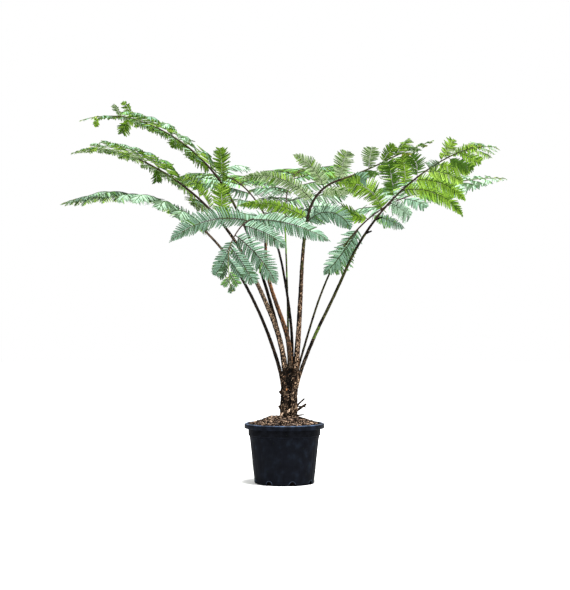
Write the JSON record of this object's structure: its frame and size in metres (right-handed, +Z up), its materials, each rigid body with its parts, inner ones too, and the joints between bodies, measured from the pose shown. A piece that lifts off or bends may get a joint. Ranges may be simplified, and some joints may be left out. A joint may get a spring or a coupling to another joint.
{
  "type": "potted tree fern",
  "caption": "Tree fern in a round black nursery pot: short scaly trunk, long bare stipes and wide arching feathery fronds.",
  "frame": {"origin": "centre of the pot's flat underside, on the surface it stands on", "axes": "+Z up, +X to the right of the front view and along the crown's longest spread, +Y away from its viewer"},
  "size_m": [2.1757, 1.3786, 1.8009],
  "materials": {
    "pot": "satin black moulded plastic",
    "soil": "matte, coarse bark and coir mix",
    "trunk": "matte, scaly and fibrous",
    "stipe": "dull, scaly below and smooth green above",
    "frond": "matte leaf, bluish above and bright green below"
  },
  "bodies": {
    "root": {"pot": "pot", "soil": "soil", "trunk": "trunk", "stipe_left_high": "stipe", "stipe_left_middle": "stipe", "stipe_left_low": "stipe", "stipe_front": "stipe", "stipe_back_left": "stipe", "stipe_back": "stipe", "stipe_right_inner": "stipe", "stipe_right_low": "stipe", "stipe_right_high": "stipe", "frond_left_high": "frond", "frond_left_middle": "frond", "frond_left_low": "frond", "frond_front": "frond", "frond_back_left": "frond", "frond_back": "frond", "frond_right_inner": "frond", "frond_right_low": "frond", "frond_right_high": "frond"}
  },
  "joints": []
}
